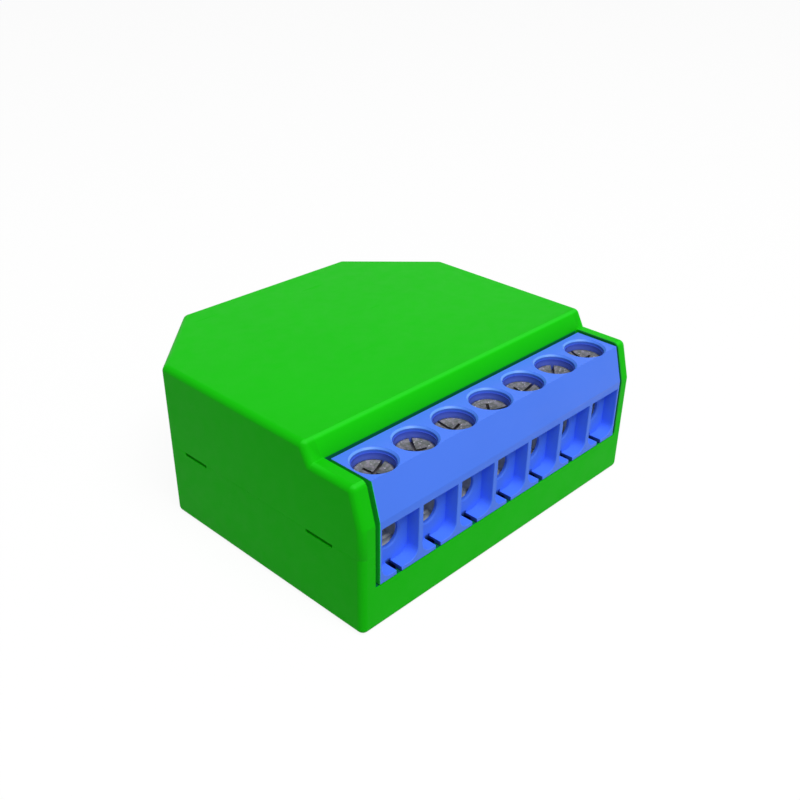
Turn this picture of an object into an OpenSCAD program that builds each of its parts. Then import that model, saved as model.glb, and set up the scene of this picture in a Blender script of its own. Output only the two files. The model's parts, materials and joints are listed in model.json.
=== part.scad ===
// In-wall dimmer module with a seven-way screw terminal row.
// Millimetres. The origin is the centre of the footprint on the bottom face.
// The terminal face looks along -Y and +Z is up.

/* [Housing] */
// Depth from the terminal face to the back wall
body_d = 37.8; // [36:0.2:44]
// Height over both shells
body_h = 17.9; // [17.5:0.1:22]
// Leg of the two bevelled back corners
corner_cut = 9; // [6:0.5:11]
// Thickness of the side and back walls
wall = 1.7; // [1.5:0.1:2]
// Thickness of the cover's top
roof_t = 1.4; // [1.2:0.1:1.8]
// Thickness of the lower shell's floor
floor_t = 1.4; // [1.2:0.1:1.8]
// Radius of the outer edges
edge_r = 0.75; // [0.4:0.05:1]
// Height of the parting line between the shells
part_z = 8.7; // [8:0.1:9.4]

/* [Terminal shelf] */
// Depth of the low shelf in front of the cover's step
shelf_d = 6.6; // [6.6:0.1:7.4]
// Drop from the cover's top to the shelf
shelf_drop = 1.8; // [1.6:0.1:2.2]
// How far the step leans back over its height
step_run = 0.95; // [0.6:0.05:1.4]
// How far the front leans back above the wire entries
slope_run = 1.15; // [0.9:0.05:1.3]
// Height of the leaning part of the front
slope_h = 4.2; // [3.8:0.1:4.6]
// Height of the lip in front of the terminal housing
lip_z = 4.95; // [4.7:0.05:5]
// Thickness of that lip
lip_t = 0.7; // [0.5:0.05:0.8]

/* [Terminal row] */
// Distance from one terminal to the next
pitch = 5.4; // [5.4:0.1:6.2]
// Gap between the row and each side wall
row_gap = 0.4; // [0.3:0.05:0.6]
// Depth of the row's top below the shelf
row_drop = 0.35; // [0.2:0.05:0.5]
// Thickness of the partitions between wire entries
partition = 0.8; // [0.6:0.05:1]
// Lowest height of the wire entries' rounded floor
entry_z = 5.5; // [5.3:0.05:5.7]
// Radius where that floor turns up into the side walls
entry_r = 1.5; // [1:0.05:2]
// Depth of the mouth of a wire entry
mouth_d = 1.5; // [1.2:0.05:1.55]
// Width of the slit along the floor of a wire entry
slit_w = 0.6; // [0.3:0.05:0.7]
// Radius of the round wire hole
wire_r = 1.4; // [1.2:0.05:1.4]
// Radius of the screw's access hole
access_r = 2.1; // [2:0.05:2.2]
// Distance of the screw axes from the terminal face
screw_y = 3.35; // [3.3:0.05:3.6]

/* [Screws and clamps] */
// Radius of the screw's thread
thread_r = 1; // [0.9:0.05:1.1]
// Radius of the screw's head
head_r = 1.8; // [1.6:0.05:1.85]
// Height of the screw's head
head_t = 1.1; // [0.9:0.05:1.2]
// Depth of the head below the row's top
head_sink = 0.65; // [0.4:0.05:0.7]
// Width of the screw's slot
slot_w = 0.45; // [0.35:0.05:0.6]
// How far a clamp rises from open to closed
clamp_travel = 1.8; // [1.4:0.1:1.9]
// Clear height of an open clamp
clamp_open = 2.9; // [2.6:0.1:3]
// Thickness of the clamp's sheet
clamp_t = 0.45; // [0.35:0.05:0.5]
// Thickness of the fixed contact bar
bar_t = 0.8; // [0.6:0.05:0.9]

/* [Boards] */
// Room under the main board for its solder joints
tail_room = 1.5; // [1.2:0.1:1.8]
// Thickness of the main board
board_t = 1.6; // [1.2:0.1:1.6]
// Thickness of the control board
control_t = 1; // [0.8:0.1:1.2]
// Width of the control board
control_w = 27; // [24:0.5:28]

/* [Hidden] */
$fn = 48;
ways = 7;
// Slack where one piece drops into another
fit = 0.1;
// Radial clearance of a running fit
run_fit = 0.06;
// Overlap that makes a cut clean or a joint solid
eps = 0.05;

row_w = ways * pitch;
body_w = row_w + 2 * (row_gap + wall);
half_w = body_w / 2;
front = -body_d / 2;
back = body_d / 2;
bay_w = row_w + 2 * row_gap;
shelf_z = body_h - shelf_drop;
slope_z = shelf_z - slope_h;
roof_z = body_h - roof_t;
row_top = shelf_z - row_drop;
lean = atan2(slope_run, slope_h);
step_lean = atan2(step_run, shelf_drop);

// Vertical stack of a terminal, from the top of the row downwards
head_top = row_top - head_sink;
head_low = head_top - head_t;
clamp_top = head_low - 2 * fit - clamp_travel;
plate_t = 1;
bar_top = clamp_top - plate_t - fit;
bar_low = bar_top - bar_t;
wire_low = bar_low - clamp_open;
clamp_low = wire_low - bar_t;
wire_z = (bar_low + wire_low) / 2;
entry_top = slope_z - 0.8;

// Depths of a terminal, from the terminal face backwards
funnel_d = 0.12;
hole_wall = 0.3;
chamber_y = mouth_d + funnel_d + hole_wall;
clamp_d = 3.2;
chamber_end = chamber_y + clamp_d + 2 * fit;
slit_low = lip_z - 1.3;
slit_rise = 0.1;
slit_bite = 0.8;
access_d = 0.45;
rim = 0.15;
clamp_w = pitch - partition - 4 * fit;
bar_w = clamp_w - 2 * clamp_t - 3 * fit;
pin_y = chamber_end + 1.9;
pin_w = 1;
row_end = pin_y + 1.6;
foot_y = chamber_end + 0.3;
row_back_z = shelf_z - roof_t - 0.4;

board_z = floor_t + tail_room;
board_top = board_z + board_t;
board_gap = 0.3;
control_y = body_d - wall - 3.3 - control_t;

// Driving recess and rounded edge of a screw's head
head_bevel = 0.25;
dish_r = head_r - 0.65;
dish_d = 0.12;
slot_d = 0.6;
cross_d = 0.8;
cross_r = 1.1;

function way_x(i) = (i - (ways + 1) / 2) * pitch;

// Plan of the body, inset by d, starting y0 behind the terminal face
function plan(d, y0 = 0) =
    let (x = half_w - d, k = (sqrt(2) - 1) * d, y1 = back - corner_cut - k)
    [[-x, front + y0], [x, front + y0], [x, y1], [half_w - corner_cut - k, back - d],
     [corner_cut + k - half_w, back - d], [-x, y1]];

// Children moved so that y = 0 is the terminal face
module from_front() {
    translate([0, front, 0]) children();
}

// Prism of width w along X whose outline is drawn in Y and Z
module across(w) {
    translate([-w / 2, 0, 0]) rotate([90, 0, 90]) linear_extrude(w) children();
}

// Box given by its two corners
module block(low, high) {
    translate(low) cube(high - low);
}

// Balls at the points of one level, to be hulled
module balls(points, z) {
    for (p = points) translate([p[0], p[1], z]) sphere(edge_r, $fn = 32);
}

// Outer form of the closed housing, with every outer edge rounded
module outer_form() {
    step_foot = shelf_d - 3 * tan(step_lean);
    hull() {
        balls(plan(edge_r, shelf_d + step_run + edge_r * tan(45 - step_lean / 2)), body_h - edge_r);
        balls(plan(edge_r, step_foot + edge_r), shelf_z - 3);
        balls(plan(edge_r, step_foot + edge_r), edge_r);
    }
    hull() {
        low = [for (s = [-1, 1]) [s * (half_w - edge_r), front + edge_r]];
        high = [for (s = [-1, 1]) [s * (half_w - edge_r), front + slope_run + edge_r * tan(45 - lean / 2)]];
        rear = [for (s = [-1, 1]) [s * (half_w - edge_r), front + shelf_d + 4]];
        balls(low, edge_r);
        balls(low, slope_z - edge_r * tan(lean / 2));
        balls(high, shelf_z - edge_r);
        balls(rear, shelf_z - edge_r);
        balls(rear, edge_r);
    }
}

// Snap arms sit in pockets of the lower shell's walls
snap_w = 3.6;
snap_y = [5.7, 24.5];
arm_t = 0.7;
arm_h = 3.2;
hook_h = 0.8;
skin = 0.45;
release_h = 0.35;
tongue_t = 0.6;
tongue_h = 1;

module at_snaps() {
    for (s = [0, 1], y = snap_y) mirror([s, 0, 0]) translate([half_w - wall, front + y, 0]) children();
}

module snap_arm() {
    arm_low = part_z - arm_h;
    hook_x = wall - skin - 2 * fit;
    translate([fit, snap_w / 2 - fit, 0]) rotate([90, 0, 0]) linear_extrude(snap_w - 2 * fit)
        polygon([[0, part_z + 2], [0, arm_low], [arm_t / 2, arm_low], [arm_t, arm_low + 0.5],
                 [hook_x, arm_low + 0.8], [hook_x, arm_low + 0.8 + hook_h],
                 [arm_t, arm_low + 0.8 + hook_h], [arm_t, part_z + 2]]);
}

module snap_pocket() {
    translate([-eps, -snap_w / 2, 0]) {
        block([0, 0, part_z - arm_h - fit], [arm_t + 2 * fit + eps, snap_w, part_z + 2]);
        block([0, 0, part_z - arm_h - fit], [wall - skin + eps, snap_w, part_z - arm_h + 1 + hook_h]);
    }
}

// Ribs of the cover that hold the main board down on its posts
rib_y = [13, 26.5];
rib_w = 1.2;

module at_ribs() {
    for (s = [0, 1], y = rib_y) mirror([s, 0, 0]) translate([0, front + y, 0]) children();
}

module top_cover() {
    color([0.17, 0.79, 0.13]) difference() {
        union() {
            difference() {
                intersection() {
                    outer_form();
                    block([-half_w - 1, front - 1, part_z], [half_w + 1, back + 1, body_h + 1]);
                }
                // Room behind the step
                translate([0, 0, part_z - 1]) linear_extrude(roof_z - part_z + 1)
                    polygon(plan(wall, shelf_d + step_run + wall));
                // Bay of the terminal housing, open to the front
                from_front() block([-bay_w / 2, -1, 0], [bay_w / 2, shelf_d, body_h + 1]);
                from_front() block([-bay_w / 2, shelf_d - 1, 0],
                                   [bay_w / 2, shelf_d + step_run + wall + eps, row_back_z + fit]);
                // Rebate over the lower shell's tongue
                translate([0, 0, part_z - eps]) linear_extrude(tongue_h + fit + eps) difference() {
                    polygon(plan(wall - tongue_t - fit, shelf_d + 3));
                    polygon(plan(wall + 1, shelf_d + 4));
                }
            }
            at_snaps() snap_arm();
            at_ribs() block([bay_w / 2 - rib_w, -rib_w / 2, board_top], [bay_w / 2 + eps, rib_w / 2, roof_z + eps]);
            // Stiffening ribs under the roof
            for (y = [12.5, 31]) from_front() block([-8, y, roof_z - 0.6], [8, y + 0.8, roof_z + eps]);
        }
        // The hold-down ribs pass inside the lower shell's wall
        at_ribs() block([bay_w / 2 - fit, -rib_w, 0], [half_w + 1, rib_w, part_z]);
    }
}

post_r = 1.2;
post_x = 17.2;
post_y = [9.6, 27];

module bottom_housing() {
    color([0.13, 0.62, 0.11]) {
        difference() {
            intersection() {
                outer_form();
                block([-half_w - 1, front - 1, -1], [half_w + 1, back + 1, part_z]);
            }
            translate([0, 0, floor_t]) linear_extrude(part_z) polygon(plan(wall, lip_t));
            // The front is open above the lip
            from_front() block([-bay_w / 2, -1, lip_z], [bay_w / 2, shelf_d, part_z + 1]);
            at_snaps() snap_pocket();
            // Release slits on the parting line
            at_snaps() block([-1, -snap_w / 2, part_z - release_h], [wall + 1, snap_w / 2, part_z + 1]);
        }
        // Tongue that enters the cover's rebate
        difference() {
            translate([0, 0, part_z - 1]) linear_extrude(tongue_h + 1) difference() {
                polygon(plan(wall - tongue_t, shelf_d + 3 + fit));
                polygon(plan(wall, shelf_d));
            }
            at_snaps() block([-2, -snap_w / 2, 0], [wall + 1, snap_w / 2, part_z + 3]);
            at_ribs() block([0, -rib_w, part_z], [half_w, rib_w, part_z + 3]);
        }
        // Posts under the main board
        for (x = [-1, 1] * min(post_x, half_w - wall - post_r - 0.5), y = post_y)
            translate([x, front + y, floor_t - eps]) cylinder(r = post_r, h = board_z - floor_t + eps);
        // Cross ribs on the floor
        for (y = [14, 22, 30]) from_front()
            block([-12, y, floor_t - eps], [12, y + 0.8, floor_t + 0.5]);
    }
}

// Outline of the terminal housing in Y and Z, y = 0 at the terminal face
module row_outline() {
    slope_top = slope_run * (row_top - slope_z) / slope_h;
    back_y = shelf_d - 1.5 * fit;
    polygon([[0, lip_z + fit], [0, slope_z], [slope_top, row_top], [back_y, row_top],
             [back_y, row_back_z], [row_end, row_back_z], [row_end, board_top], [foot_y, board_top],
             [foot_y, board_z], [lip_t + fit, board_z], [lip_t + fit, lip_z + fit]]);
}

// Cross-section of a wire entry in X and Z: straight sides over a rounded floor
module entry_outline() {
    w = pitch - partition;
    bend_z = entry_z + entry_r;
    translate([-w / 2, bend_z]) square([w, entry_top - bend_z]);
    translate([entry_r - w / 2, entry_z]) square([w - 2 * entry_r, entry_r + eps]);
    for (s = [-1, 1]) translate([s * (w / 2 - entry_r), bend_z]) circle(entry_r);
}

// What one way takes out of the terminal housing, at x = 0
module way_cut() {
    // Wire entry: mouth, slit, funnel and round hole
    translate([0, mouth_d, 0]) rotate([90, 0, 0]) linear_extrude(mouth_d + 1) entry_outline();
    block([-slit_w / 2, -1, slit_low], [slit_w / 2, mouth_d + slit_bite, entry_z + slit_rise]);
    translate([0, mouth_d - eps, wire_z]) rotate([-90, 0, 0])
        cylinder(r1 = wire_r + funnel_d + eps, r2 = wire_r, h = funnel_d + eps);
    translate([0, mouth_d, wire_z]) rotate([-90, 0, 0]) cylinder(r = wire_r, h = hole_wall + 1);
    // Chamber of the clamp
    block([-clamp_w / 2 - 2 * fit, chamber_y, clamp_low - 2 * fit],
          [clamp_w / 2 + 2 * fit, chamber_end, head_low - fit]);
    // Screw access from above, with a bevelled rim
    translate([0, screw_y, head_low - 2 * fit]) cylinder(r = head_r + run_fit, h = head_t + 1);
    translate([0, screw_y, row_top - access_d]) cylinder(r = access_r, h = access_d + 1);
    translate([0, screw_y, row_top - rim]) cylinder(r1 = access_r, r2 = access_r + rim + eps, h = rim + eps);
    // Slots of the contact bar and its pin
    block([-bar_w / 2 - eps, chamber_end - eps, bar_low - eps],
          [bar_w / 2 + eps, pin_y + pin_w / 2 + eps, bar_top + eps]);
    block([-pin_w / 2 - eps, pin_y - pin_w / 2 - eps, 0], [pin_w / 2 + eps, pin_y + pin_w / 2 + eps, bar_top]);
}

module terminal_housing() {
    color([0.30, 0.49, 1.0]) from_front() difference() {
        across(row_w) row_outline();
        for (i = [1:ways]) translate([way_x(i), 0, 0]) way_cut();
    }
}

// One screw at x = 0: the dished head, the thread's cylinder and the combined cross and slot
module screw() {
    from_front() translate([0, screw_y, 0]) difference() {
        rotate_extrude()
            polygon([[0, bar_top + eps], [thread_r - 0.3, bar_top + eps], [thread_r, bar_top + 0.4],
                     [thread_r, head_low], [head_r, head_low], [head_r, head_top - head_bevel],
                     [head_r - head_bevel, head_top], [dish_r + dish_d, head_top],
                     [dish_r, head_top - dish_d], [0, head_top - dish_d]]);
        block([-head_r - 1, -slot_w / 2, head_top - slot_d], [head_r + 1, slot_w / 2, head_top + 1]);
        block([-slot_w / 2, -cross_r, head_top - cross_d], [slot_w / 2, cross_r, head_top + 1]);
    }
}

module way_screw(i) {
    color([0.78, 0.77, 0.80]) translate([way_x(i), 0, 0]) screw();
}

module terminal_screw_1() { way_screw(1); }
module terminal_screw_2() { way_screw(2); }
module terminal_screw_3() { way_screw(3); }
module terminal_screw_4() { way_screw(4); }
module terminal_screw_5() { way_screw(5); }
module terminal_screw_6() { way_screw(6); }
module terminal_screw_7() { way_screw(7); }

// One rising clamp at x = 0: a closed loop of sheet with a threaded top plate and a serrated floor
module clamp() {
    y0 = chamber_y + fit;
    from_front() difference() {
        translate([0, y0, 0]) {
            block([-clamp_w / 2, 0, clamp_low], [clamp_w / 2, clamp_d, clamp_top]);
        }
        block([clamp_t - clamp_w / 2, y0 - 1, wire_low], [clamp_w / 2 - clamp_t, y0 + clamp_d + 1, bar_top + fit]);
        translate([0, screw_y, clamp_top - plate_t - 1]) cylinder(r = thread_r + run_fit, h = plate_t + 2);
        for (k = [1:3]) translate([0, y0 + k * clamp_d / 4, wire_low]) rotate([45, 0, 0])
            cube([clamp_w - 2 * clamp_t, 0.3, 0.3], center = true);
        for (s = [-1, 1]) translate([s * clamp_w / 2, 0, clamp_low]) rotate([0, 45, 0])
            cube([0.5, 30, 0.5], center = true);
    }
}

module way_clamp(i) {
    color([0.62, 0.62, 0.64]) translate([way_x(i), 0, 0]) clamp();
}

module clamp_cage_1() { way_clamp(1); }
module clamp_cage_2() { way_clamp(2); }
module clamp_cage_3() { way_clamp(3); }
module clamp_cage_4() { way_clamp(4); }
module clamp_cage_5() { way_clamp(5); }
module clamp_cage_6() { way_clamp(6); }
module clamp_cage_7() { way_clamp(7); }

// Seven fixed bars: each runs through its clamp and turns down through the board
module contact_bars() {
    color([0.80, 0.72, 0.50]) from_front() for (i = [1:ways]) translate([way_x(i), 0, 0]) {
        difference() {
            union() {
                block([-bar_w / 2, chamber_y + fit, bar_low], [bar_w / 2, pin_y + pin_w / 2, bar_top]);
                block([-pin_w / 2, pin_y - pin_w / 2, board_z - 0.9], [pin_w / 2, pin_y + pin_w / 2, bar_top]);
            }
            for (s = [-1, 1]) translate([s * bar_w / 2, chamber_y + fit, 0]) rotate([0, 0, 45])
                cube([0.7, 0.7, 50], center = true);
        }
    }
}

// Places of the pieces on the main board, [x, distance from the terminal face]
lead_r = 0.3;
tail_l = 0.8;
film_at = [-2.8, 15.5];
film_size = [4.8, 10.4, 10];
film_leads = [for (s = [-1, 1]) [film_at[0], film_at[1] + s * 3.75]];
varistor_at = [2.4, 13.7];
varistor_r = 3.5;
varistor_t = 3;
varistor_leads = [for (s = [-1, 1]) [varistor_at[0] + s * 0.7, varistor_at[1] + s * 2.5]];
fuse_at = [2.4, 21.5];
fuse_l = 6.4;
fuse_r = 1.35;
fuse_leads = [for (s = [-1, 1]) [fuse_at[0], fuse_at[1] + s * (fuse_l / 2 + 0.5)]];
bulk_x = 5.9;
bulk_l = 11;
bulk_1_r = 4;
bulk_1_y = 13.4;
bulk_2_r = 3.15;
bulk_2_y = bulk_1_y + bulk_1_r + bulk_2_r + 0.4;
bulk_lead_x = bulk_x - 0.8;
bulk_1_leads = [for (s = [-1, 1]) [bulk_lead_x, bulk_1_y + s * 1.75]];
bulk_2_leads = [for (s = [-1, 1]) [bulk_lead_x, bulk_2_y + s * 1.25]];
smoothing_r = 2.4;
smoothing_h = 8;
smoothing_at = [-2.8, 24.2];
smoothing_leads = [for (s = [-1, 1]) smoothing_at + [s * 1, 0]];

// Right-angle header between the boards
header_pins_n = 9;
header_step = 2;
header_d = 1.9;
header_h = 2.2;
header_y = control_y - 1;
header_z = board_top + 1.2;
header_pin = 0.5;
pin_room = 0.3;
pin_hole_r = 0.45;
control_low = board_top + 0.3;
control_high = roof_z - 0.5;
function header_x(k) = (k - (header_pins_n + 1) / 2) * header_step;

// The rear row of pieces keeps its distance to the control board
choke_r = 3;
choke_h = 7.6;
flange_t = 1;
choke_at = [14, control_y - choke_r - 0.9];
choke_leads = [for (s = [-1, 1]) choke_at + [s * 1.25, 0]];
bridge_at = [7.2, control_y - 4.5];
rear_chip_y = control_y - header_d - 1.7;
coupler_at = [-2.8, rear_chip_y];
controller_at = [1.4, rear_chip_y - 0.2];
all_leads = concat(film_leads, varistor_leads, fuse_leads, bulk_1_leads, bulk_2_leads,
                   smoothing_leads, choke_leads);

module at_points(points) {
    for (p = points) translate([p[0], front + p[1], 0]) children();
}

module main_board() {
    color([0.05, 0.33, 0.16]) difference() {
        translate([0, 0, board_z]) linear_extrude(board_t) polygon(plan(wall + board_gap, foot_y + board_gap));
        for (i = [1:ways]) translate([way_x(i), front + pin_y, board_z - 1]) cylinder(r = 0.8, h = board_t + 2);
        at_points(all_leads) translate([0, 0, board_z - 1]) cylinder(r = lead_r + fit, h = board_t + 2);
        for (k = [1:header_pins_n]) translate([header_x(k), front + header_y, board_z - 1])
            cylinder(r = pin_hole_r, h = board_t + 2);
        // Locating notches in the long edges
        for (s = [-1, 1]) translate([s * (half_w - wall - board_gap), front + 20, board_z - 1])
            cylinder(r = 1, h = board_t + 2);
    }
}

module control_board() {
    color([0.05, 0.22, 0.42]) from_front() difference() {
        block([-control_w / 2, control_y, control_low],
              [control_w / 2, control_y + control_t, control_high]);
        for (s = [-1, 1]) translate([s * (control_w / 2 - 1.6), control_y - 1, control_high - 1.6])
            rotate([-90, 0, 0]) cylinder(r = 0.6, h = control_t + 2);
        for (k = [1:header_pins_n]) translate([header_x(k), control_y - 1, header_z]) rotate([-90, 0, 0])
            cylinder(r = pin_hole_r, h = control_t + 2);
    }
}

module header_strip() {
    w = header_pins_n * header_step;
    r = pin_room;
    color([0.10, 0.10, 0.11]) from_front() difference() {
        block([-w / 2, control_y - header_d, board_top], [w / 2, control_y, board_top + header_h]);
        for (k = [1:header_pins_n]) translate([header_x(k), header_y, header_z]) {
            block([-r, -r, -header_h - 1], [r, r, r]);
            block([-r, -r, -r], [r, header_d + 1, r]);
        }
        for (k = [0:header_pins_n])
            translate([(k - header_pins_n / 2) * header_step, control_y - header_d, board_top - 1])
                cylinder(r = 0.35, h = header_h + 2);
    }
}

module header_pins() {
    p = header_pin / 2;
    color([0.85, 0.72, 0.35]) from_front() for (k = [1:header_pins_n]) translate([header_x(k), header_y, 0]) {
        block([-p, -p, board_z - 0.7], [p, p, header_z + p]);
        block([-p, -p, header_z - p], [p, control_y + control_t - header_y + 0.7, header_z + p]);
    }
}

// Chip of w by d by h with n formed leads on each long side, standing on z = 0
module gull_chip(w, d, h, n, step, lead_w = 0.35) {
    bevel = 0.15;
    stand = 0.08;
    reach = 0.95;
    r = d / 2;
    rotate([90, 0, 90]) translate([0, 0, -w / 2]) linear_extrude(w)
        polygon([[bevel - r, stand], [r - bevel, stand], [r, h / 2], [r - bevel, h], [bevel - r, h], [-r, h / 2]]);
    for (k = [1:n], s = [0, 180]) rotate(s) translate([(k - (n + 1) / 2) * step - lead_w / 2, 0, 0])
        rotate([90, 0, 90]) linear_extrude(lead_w)
            polygon([[r - 0.4, h / 2 + 0.1], [r + 0.3, h / 2 + 0.1], [r + 0.5, 0.15], [r + reach, 0.15],
                     [r + reach, 0], [r + 0.4, 0], [r + 0.2, h / 2 - 0.05], [r - 0.4, h / 2 - 0.05]]);
}

// Chip resistor or capacitor with its two end caps, standing on z = 0
module end_cap_chip(w, d, h) {
    cap = w * 0.16;
    block([-w / 2 + cap / 2, -d / 2 + 0.04, 0.03], [w / 2 - cap / 2, d / 2 - 0.04, h - 0.03]);
    for (s = [0, 180]) rotate(s) block([w / 2 - cap, -d / 2, 0], [w / 2, d / 2, h]);
}

module on_board(at) {
    translate([at[0], front + at[1], board_top]) children();
}

// Local z points away from the control board's back or front face, local y points up
module on_control_back(x, z) {
    translate([x, front + control_y + control_t, z]) rotate([90, 0, 180]) children();
}

module on_control_front(x, z) {
    translate([x, front + control_y, z]) rotate([90, 0, 0]) children();
}

// Power transistor: moulded body over a tab, with two formed leads
transistor_h = 2.3;
transistor_w = 6.6;
transistor_x = 6.1 - half_w + wall + 0.9;
transistor_y = [14, control_y - 5.2];
tab_reach = 4.1;
lead_reach = 4.9;

module power_transistor(y) {
    tab_t = 0.55;
    lead_w = 0.8;
    color([0.12, 0.12, 0.13]) on_board([transistor_x, y]) {
        rotate([90, 0, 90]) translate([0, 0, -transistor_w / 2]) linear_extrude(transistor_w)
            polygon([[-2.9, tab_t - eps], [-3.05, 1.1], [-2.9, transistor_h], [2.9, transistor_h],
                     [3.05, 1.1], [2.9, tab_t - eps]]);
        block([-2.7, -2.4, 0], [2.7, tab_reach, tab_t]);
        for (x = [-2.3, 2.3]) translate([x - lead_w / 2, 0, 0]) rotate([90, 0, 90]) linear_extrude(lead_w)
            polygon([[-2.8, 1.3], [-3.6, 1.3], [-4, 0.5], [-lead_reach, 0.5],
                     [-lead_reach, 0], [-3.7, 0], [-3.3, 0.8], [-2.8, 0.8]]);
    }
}

module power_transistor_1() { power_transistor(transistor_y[0]); }
module power_transistor_2() { power_transistor(transistor_y[1]); }

// Aluminium channel from the transistors up to the pad under the roof
spreader_t = 1.2;
pad_t = 1;
spreader_x = [-half_w + wall + rib_w + 0.3, -6.6];
spreader_y = [transistor_y[0] - 4, transistor_y[1] + 2.9];
spreader_low = board_top + transistor_h;
spreader_top = roof_z - pad_t;

module heat_spreader() {
    l = spreader_y[1] - spreader_y[0];
    w = spreader_x[1] - spreader_x[0];
    color([0.75, 0.76, 0.78]) from_front() translate([0, spreader_y[0], 0]) difference() {
        rotate([90, 0, 180]) linear_extrude(l) mirror([1, 0]) union() {
            translate([spreader_x[0], spreader_low]) square([w, spreader_t]);
            translate([spreader_x[0], spreader_low]) square([spreader_t, spreader_top - spreader_low]);
            translate([spreader_x[0], spreader_top - spreader_t]) square([w - 1.5, spreader_t]);
        }
        for (k = [1:3]) translate([spreader_x[0] + 6, k * l / 4, spreader_top - spreader_t - 1])
            cylinder(r = 1.1, h = spreader_t + 2);
    }
}

module thermal_pad() {
    color([0.55, 0.60, 0.66]) from_front()
        block([spreader_x[0] + 0.5, spreader_y[0] + 0.8, spreader_top],
              [spreader_x[1] - 2, spreader_y[1] - 0.8, roof_z]);
}

// The driver and the sense resistor lie between the tab of one transistor and the leads of the other
between_y = (transistor_y[0] + tab_reach + transistor_y[1] - lead_reach) / 2;
sense_x = transistor_x - transistor_w / 2 - 1.4;

module gate_driver() {
    color([0.13, 0.13, 0.14]) on_board([transistor_x, between_y]) rotate(90) gull_chip(2.9, 1.6, 1.1, 3, 0.95);
}

module sense_resistor() {
    color([0.10, 0.10, 0.10]) on_board([sense_x, between_y]) rotate(90) end_cap_chip(5, 2.5, 0.6);
}

// Round leads from height z_top down through the board
module through_leads(points, z_top) {
    low = board_z - tail_l;
    at_points(points) translate([0, 0, low]) cylinder(r = lead_r, h = z_top - low);
}

// Box on four feet with bevelled upper edges
module film_capacitor() {
    x = film_size[0] / 2;
    y = film_size[1] / 2;
    h = film_size[2];
    c = 0.5;
    color([0.93, 0.75, 0.15]) {
        on_board(film_at) translate([0, y, 0.3]) rotate([90, 0, 0]) linear_extrude(2 * y)
            polygon([[-x, 0], [x, 0], [x, h - c], [x - c, h], [c - x, h], [-x, h - c]]);
        for (i = [-1, 1], j = [-1, 1]) on_board(film_at)
            translate([i * (x - 0.5), j * (y - 0.5), 0]) cylinder(r = 0.4, h = 0.5);
        through_leads(film_leads, board_top + 1);
    }
}

// Dipped disc that stands on its two leads
module varistor() {
    r = varistor_r;
    t = varistor_t / 2;
    z = board_top + 1 + r;
    color([0.15, 0.30, 0.75]) {
        translate([varistor_at[0], front + varistor_at[1], z]) rotate([0, 90, 0]) rotate_extrude()
            polygon([[0, -t], [r - 1.2, -t], [r - 0.35, -0.7 * t], [r, 0],
                     [r - 0.35, 0.7 * t], [r - 1.2, t], [0, t]]);
        through_leads(varistor_leads, z - 1.5);
    }
}

// Axial body along Y with two domed ends and leads bent down
module fusible_resistor() {
    r = fuse_r;
    e = fuse_l / 2;
    waist = 0.2;
    z = board_top + r + 0.3;
    color([0.35, 0.62, 0.55]) {
        translate([fuse_at[0], front + fuse_at[1], z]) rotate([90, 0, 0]) rotate_extrude()
            polygon([[0, -e], [r * 0.7, -e], [r, -e + 0.5], [r, -e + 1.4], [r - waist, -e + 1.8],
                     [r - waist, e - 1.8], [r, e - 1.4], [r, e - 0.5], [r * 0.7, e], [0, e]]);
        translate([fuse_at[0], front + fuse_leads[0][1], z]) rotate([-90, 0, 0])
            cylinder(r = lead_r, h = fuse_leads[1][1] - fuse_leads[0][1]);
        through_leads(fuse_leads, z + lead_r);
    }
}

// Electrolytic can of radius r and length l along z, with its groove, bead and sleeve edge
module can_body(r, l) {
    rotate_extrude()
        polygon([[0, 0.3], [r - 0.9, 0.3], [r - 0.7, 0], [r - 0.3, 0], [r, 0.35], [r, 1.2],
                 [r - 0.35, 1.5], [r - 0.35, 1.8], [r, 2.1], [r, l - 0.3], [r - 0.3, l],
                 [r - 0.8, l], [r - 0.9, l - 0.15], [0, l - 0.15]]);
}

module bulk_can(r, y, leads) {
    z = board_top + r + 0.05;
    color([0.14, 0.16, 0.28]) {
        translate([bulk_x, front + y, z]) rotate([0, 90, 0]) can_body(r, bulk_l);
        at_points(leads) translate([-lead_r, 0, z]) rotate([0, 90, 0])
            cylinder(r = lead_r, h = bulk_x - bulk_lead_x + lead_r + 0.5);
        through_leads(leads, z + lead_r);
    }
}

module bulk_capacitor_1() { bulk_can(bulk_1_r, bulk_1_y, bulk_1_leads); }
module bulk_capacitor_2() { bulk_can(bulk_2_r, bulk_2_y, bulk_2_leads); }

module smoothing_capacitor() {
    color([0.14, 0.16, 0.28]) {
        on_board(smoothing_at) can_body(smoothing_r, smoothing_h);
        through_leads(smoothing_leads, board_top + 1);
    }
}

// Drum choke: two flanges with the sleeved winding between them
module supply_choke() {
    r = choke_r;
    sleeve_r = r - 0.2;
    top = choke_h - flange_t;
    color([0.16, 0.16, 0.17]) {
        on_board(choke_at) rotate_extrude()
            polygon([[0, 0], [r, 0], [r, flange_t], [sleeve_r - 0.1, flange_t + 0.2], [sleeve_r, flange_t + 1],
                     [sleeve_r, top - 1], [sleeve_r - 0.1, top - 0.2], [r, top], [r, choke_h], [1, choke_h],
                     [0.8, choke_h - 0.3], [0, choke_h - 0.3]]);
        through_leads(choke_leads, board_top + 0.5);
    }
}

module optocoupler() {
    color([0.90, 0.90, 0.88]) on_board(coupler_at) rotate(90) gull_chip(2.6, 2.4, 2, 2, 1.27);
}

module supply_controller() {
    color([0.12, 0.12, 0.13]) on_board(controller_at) gull_chip(2.9, 1.7, 1.2, 3, 0.95);
}

module bridge_rectifier() {
    color([0.12, 0.12, 0.13]) on_board(bridge_at) rotate(90) gull_chip(3.9, 4.3, 2.5, 2, 2.5, 0.7);
}

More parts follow.
